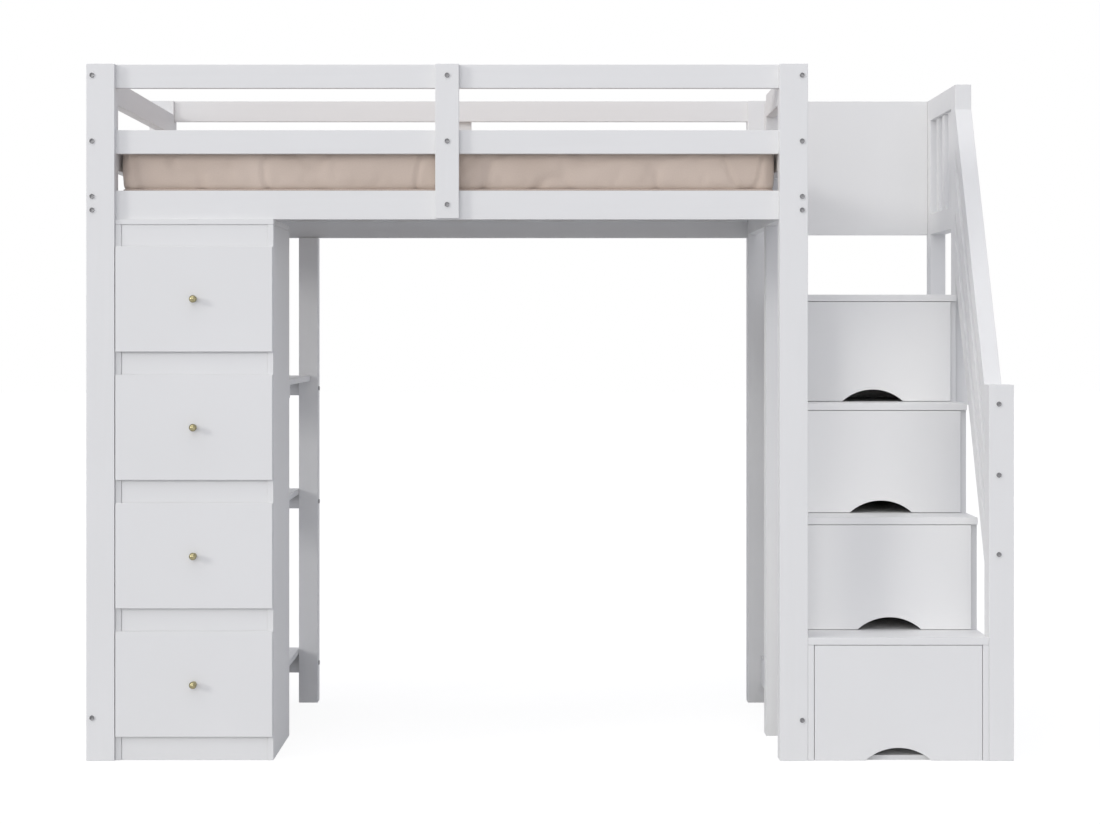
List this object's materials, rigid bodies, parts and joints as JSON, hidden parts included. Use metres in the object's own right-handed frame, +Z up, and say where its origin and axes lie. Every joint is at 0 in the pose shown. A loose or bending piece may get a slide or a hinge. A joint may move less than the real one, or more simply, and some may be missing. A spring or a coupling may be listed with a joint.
{
  "type": "loft bed with storage",
  "caption": "Raised single bed on tall posts over a drawer cabinet with rear shelves, reached by a staircase whose steps hold drawers, all in white paint.",
  "frame": {"origin": "on the floor, under the middle of the bed's overall box", "axes": "+X from the drawer cabinet to the staircase, +Y from the front, where the drawers pull out, to the back, +Z up"},
  "size_m": [2.6632, 1.112, 2.002],
  "materials": {
    "white_paint": "satin paint",
    "knob_brass": "polished",
    "mattress_cloth": "matte"
  },
  "bodies": {
    "bed": {"post_front_left": "white_paint", "post_front_right": "white_paint", "post_rear_left": "white_paint", "post_rear_right": "white_paint", "entry_post": "white_paint", "front_guard_top": "white_paint", "front_guard_low": "white_paint", "front_side_rail": "white_paint", "front_upright": "white_paint", "rear_guard_top": "white_paint", "rear_guard_low": "white_paint", "rear_side_rail": "white_paint", "rear_upright": "white_paint", "left_guard_top": "white_paint", "left_guard_low": "white_paint", "left_bed_rail": "white_paint", "left_foot_rail": "white_paint", "right_guard_top": "white_paint", "right_guard_low": "white_paint", "right_bed_rail": "white_paint", "right_foot_rail": "white_paint", "slat_deck": "white_paint", "mattress": "mattress_cloth", "cabinet_side_left": "white_paint", "cabinet_side_right": "white_paint", "cabinet_top": "white_paint", "cabinet_back": "white_paint", "cabinet_base": "white_paint", "cabinet_face_frame": "white_paint", "shelf_post": "white_paint", "shelf_1": "white_paint", "shelf_2": "white_paint", "shelf_3": "white_paint", "stair_side_left": "white_paint", "stair_side_right": "white_paint", "stair_back_and_base": "white_paint", "stair_tread_1": "white_paint", "stair_tread_2": "white_paint", "stair_tread_3": "white_paint", "stair_tread_4": "white_paint", "newel_post": "white_paint", "upper_post": "white_paint", "landing_post": "white_paint", "sloping_rail_1": "white_paint", "sloping_rail_2": "white_paint", "sloping_rail_3": "white_paint", "landing_side_guard": "white_paint", "landing_back_panel": "white_paint"},
    "cabinet_box_1": {"cabinet_drawer_1": "white_paint", "cabinet_knob_1": "knob_brass"},
    "cabinet_box_2": {"cabinet_drawer_2": "white_paint", "cabinet_knob_2": "knob_brass"},
    "cabinet_box_3": {"cabinet_drawer_3": "white_paint", "cabinet_knob_3": "knob_brass"},
    "cabinet_box_4": {"cabinet_drawer_4": "white_paint", "cabinet_knob_4": "knob_brass"},
    "stair_box_1": {"stair_drawer_1": "white_paint"},
    "stair_box_2": {"stair_drawer_2": "white_paint"},
    "stair_box_3": {"stair_drawer_3": "white_paint"},
    "stair_box_4": {"stair_drawer_4": "white_paint"}
  },
  "joints": [
    {"name": "cabinet_slide_1", "type": "slide", "parent": "bed", "child": "cabinet_box_1", "axis": [0, -1, 0], "range_m": [0, 0.3]},
    {"name": "cabinet_slide_2", "type": "slide", "parent": "bed", "child": "cabinet_box_2", "axis": [0, -1, 0], "range_m": [0, 0.3]},
    {"name": "cabinet_slide_3", "type": "slide", "parent": "bed", "child": "cabinet_box_3", "axis": [0, -1, 0], "range_m": [0, 0.3]},
    {"name": "cabinet_slide_4", "type": "slide", "parent": "bed", "child": "cabinet_box_4", "axis": [0, -1, 0], "range_m": [0, 0.3]},
    {"name": "stair_slide_1", "type": "slide", "parent": "bed", "child": "stair_box_1", "axis": [0, -1, 0], "range_m": [0, 0.34]},
    {"name": "stair_slide_2", "type": "slide", "parent": "bed", "child": "stair_box_2", "axis": [0, -1, 0], "range_m": [0, 0.34]},
    {"name": "stair_slide_3", "type": "slide", "parent": "bed", "child": "stair_box_3", "axis": [0, -1, 0], "range_m": [0, 0.34]},
    {"name": "stair_slide_4", "type": "slide", "parent": "bed", "child": "stair_box_4", "axis": [0, -1, 0], "range_m": [0, 0.34]}
  ]
}
